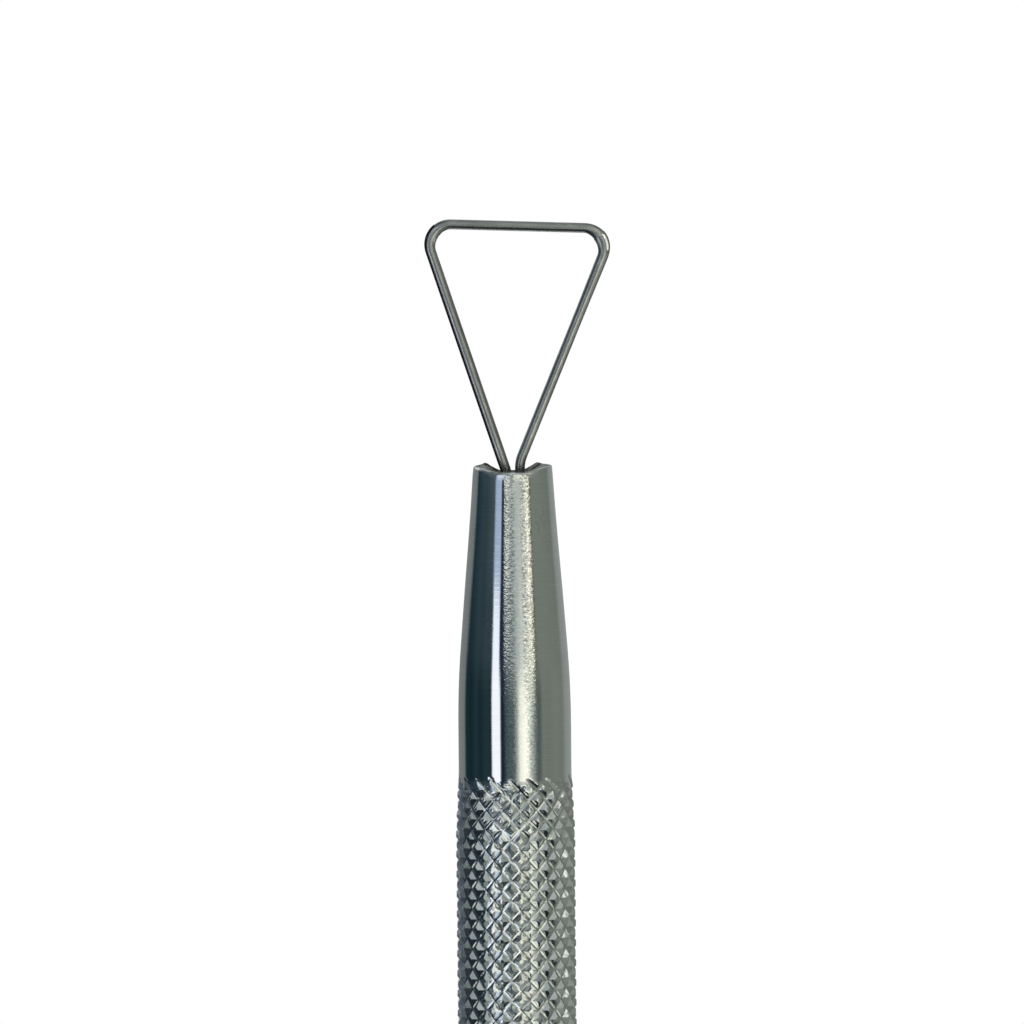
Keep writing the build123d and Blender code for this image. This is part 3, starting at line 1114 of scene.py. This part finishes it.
LAND_RING = [
    *BEHIND_LEFT,
    (-126, (0.22, 0.24, 0.25)),
    (-118, (0.014, 0.036, 0.046)),
    (-100, (0.010, 0.028, 0.036)),
    (-86, (0.020, 0.046, 0.056)),
    (-74, (0.011, 0.030, 0.040)),
    (-62, (0.022, 0.048, 0.058)),
    (-49, (0.016, 0.040, 0.050)),
    (-46, (1.35, 1.38, 1.50)),
    (-31, (1.35, 1.38, 1.50)),
    (-28, (0.012, 0.022, 0.040)),
    (-21, (0.020, 0.036, 0.050)),
    (-18, (0.07, 0.11, 0.12)),
    (-1, (0.13, 0.16, 0.17)),
    (5, (0.50, 0.53, 0.48)),
    (11, (1.20, 1.22, 1.05)),
    (24, (1.60, 1.60, 1.38)),
    (33, (0.66, 0.70, 0.64)),
    (42, (0.26, 0.30, 0.29)),
    (48, (0.11, 0.14, 0.135)),
    (54, (0.13, 0.16, 0.15)),
    (59, (0.225, 0.26, 0.225)),
    (76, (0.215, 0.25, 0.215)),
    (90, (0.24, 0.27, 0.235)),
    (114, (0.22, 0.25, 0.22)),
    *BEHIND_RIGHT,
]
CONE_RING = [
    *BEHIND_LEFT,
    (-121, (0.22, 0.24, 0.25)),
    (-113, (0.016, 0.038, 0.048)),
    (-100, (0.028, 0.052, 0.070)),
    (-86, (0.038, 0.066, 0.084)),
    (-74, (0.034, 0.060, 0.078)),
    (-64, (0.044, 0.072, 0.088)),
    (-49, (0.038, 0.062, 0.080)),
    (-45, (1.25, 1.32, 1.50)),
    (-33, (1.25, 1.32, 1.50)),
    (-31, (0.012, 0.022, 0.045)),
    (-22, (0.030, 0.045, 0.080)),
    (-19, (0.13, 0.16, 0.19)),
    (-10, (0.21, 0.26, 0.27)),
    (-1, (0.36, 0.42, 0.40)),
    (8, (0.58, 0.64, 0.60)),
    (18, (0.84, 0.88, 0.84)),
    (25, (0.62, 0.65, 0.61)),
    (31, (1.45, 1.47, 1.25)),
    (40, (1.60, 1.58, 1.28)),
    (43, (0.16, 0.17, 0.14)),
    (51, (0.235, 0.27, 0.235)),
    (70, (0.235, 0.27, 0.235)),
    (84, (0.225, 0.26, 0.22)),
    (114, (0.205, 0.24, 0.205)),
    *BEHIND_RIGHT,
]
UPPER_CONE_RING = [
    *CONE_LEFT,
    (-21, (0.24, 0.29, 0.33)),
    (-14, (0.30, 0.35, 0.38)),
    (-7, (0.46, 0.50, 0.50)),
    (-2, (0.42, 0.47, 0.45)),
    (4, (0.52, 0.58, 0.55)),
    (18, (0.74, 0.78, 0.73)),
    (24, (0.42, 0.45, 0.42)),
    *CONE_RIGHT,
]
MOUTH_END_RING = [
    *CONE_LEFT,
    (-22, (1.60, 1.60, 1.45)),
    (-14, (1.45, 1.46, 1.36)),
    (-7, (0.62, 0.66, 0.66)),
    (-2, (0.40, 0.44, 0.42)),
    (4, (0.60, 0.66, 0.62)),
    (18, (0.62, 0.67, 0.62)),
    (24, (0.40, 0.43, 0.40)),
    *CONE_RIGHT,
]
HIGH_RING = [
    (-180, (0.66, 0.72, 0.70)),
    (-130, (0.82, 0.90, 0.88)),
    (-116, (0.34, 0.38, 0.44)),
    (-100, (0.12, 0.15, 0.18)),
    (-50, (0.10, 0.13, 0.16)),
    (-44, (0.90, 1.00, 1.15)),
    (-27, (0.80, 0.90, 1.00)),
    (-18, (0.30, 0.34, 0.37)),
    (-5, (0.30, 0.34, 0.35)),
    (6, (0.95, 0.97, 0.88)),
    (28, (1.30, 1.32, 1.15)),
    (36, (0.50, 0.53, 0.48)),
    (60, (0.34, 0.37, 0.34)),
    (116, (0.22, 0.24, 0.22)),
    (146, (0.24, 0.26, 0.24)),
    (165, (0.45, 0.48, 0.45)),
    (180, (0.66, 0.72, 0.70)),
]
OVERHEAD_RING = [
    (-180, (0.50, 0.54, 0.53)),
    (-125, (0.40, 0.44, 0.44)),
    (-95, (0.10, 0.12, 0.14)),
    (-60, (0.14, 0.17, 0.18)),
    (-35, (0.36, 0.40, 0.42)),
    (-10, (0.55, 0.61, 0.62)),
    (25, (0.50, 0.54, 0.50)),
    (37, (0.44, 0.47, 0.43)),
    (41, (1.20, 1.24, 1.18)),
    (50, (1.20, 1.24, 1.18)),
    (54, (0.40, 0.43, 0.39)),
    (62, (0.38, 0.41, 0.37)),
    (84, (0.34, 0.36, 0.33)),
    (120, (0.22, 0.24, 0.22)),
    (180, (0.50, 0.54, 0.53)),
]

# The rings from underneath to overhead, each with the degrees of elevation between which it takes over
STUDIO = [
    ((-90, -89), UNDERNEATH_RING),
    ((-31, -23), LOW_RING),
    ((-16, -11), LAND_RING),
    ((-4, 0.5), CONE_RING),
    ((1.7, 3.3), UPPER_CONE_RING),
    ((3.9, 5.4), MOUTH_END_RING),
    ((8, 14), HIGH_RING),
    ((26, 42), OVERHEAD_RING),
]

# Two tall lit panels behind the tool: the bearings, either side, between which they stand
PANEL_FROM, PANEL_TO = 169, 177
PANEL_COLOUR = (1.35, 1.38, 1.40, 1)


def build_world():
    """White to the camera; to the metal, strip lights and dark flags round a soft overhead light."""
    world = bpy.data.worlds.new("studio")
    scene.world = world
    world.use_nodes = True
    nodes = Nodes(world.node_tree)
    direction = nodes.make("ShaderNodeTexCoord", out=0)
    x, y, z = nodes.separated(direction)
    bearing = nodes.math("ARCTAN2", x, nodes.times(y, -1.0))
    place = nodes.plus(nodes.math("DIVIDE", bearing, 2 * pi), 0.5)
    up = nodes.math("DIVIDE", nodes.math("ARCSINE", z), radians(1.0))

    colour = (0, 0, 0, 1)
    for (taking_over, full), stops in STUDIO:
        ring = nodes.ramp(place, [((angle + 180) / 360, shade) for angle, shade in stops])
        colour = nodes.mix(nodes.between(up, taking_over, full), colour, ring)
    behind = nodes.math("ABSOLUTE", bearing)
    panels = nodes.times(
        nodes.between(behind, radians(PANEL_FROM - 2), radians(PANEL_FROM)),
        nodes.between(behind, radians(PANEL_TO + 2), radians(PANEL_TO)),
    )
    panels = nodes.times(panels, nodes.between(up, -1, -6))
    colour = nodes.mix(panels, colour, PANEL_COLOUR)
    seen = nodes.make("ShaderNodeLightPath", out=0)
    shown = nodes.mix(seen, colour, (1, 1, 1, 1))
    background = world.node_tree.nodes["Background"]
    nodes.tree.links.new(shown, background.inputs["Color"])


build_world()
scene.view_settings.view_transform = "Standard"

# ---- Camera -------------------------------------------------------------------------------------

VIEW_WIDTH = 51.3  # millimetres across the picture at the tool
VIEW_CENTRE = Vector((-0.048, 0, 47.67))  # the point the camera looks at
CAMERA_LENS = 250.0
CAMERA_ELEVATION = radians(5.0)
CAMERA_ROLL = radians(0.48)


def build_camera():
    data = bpy.data.cameras.new("camera")
    data.lens = CAMERA_LENS
    data.sensor_width = 36.0
    data.clip_start, data.clip_end = 0.01, 20.0
    obj = bpy.data.objects.new("camera", data)
    scene.collection.objects.link(obj)
    back = Vector((0, -cos(CAMERA_ELEVATION), sin(CAMERA_ELEVATION)))
    distance = VIEW_WIDTH * CAMERA_LENS / data.sensor_width
    obj.location = (VIEW_CENTRE + back * distance) * MM
    turn = (-back).to_track_quat("-Z", "Y")
    obj.rotation_mode = "QUATERNION"
    roll = Vector((1, 0, 0)).rotation_difference(Vector((cos(CAMERA_ROLL), -sin(CAMERA_ROLL), 0)))
    obj.rotation_quaternion = turn @ roll
    scene.camera = obj


build_camera()
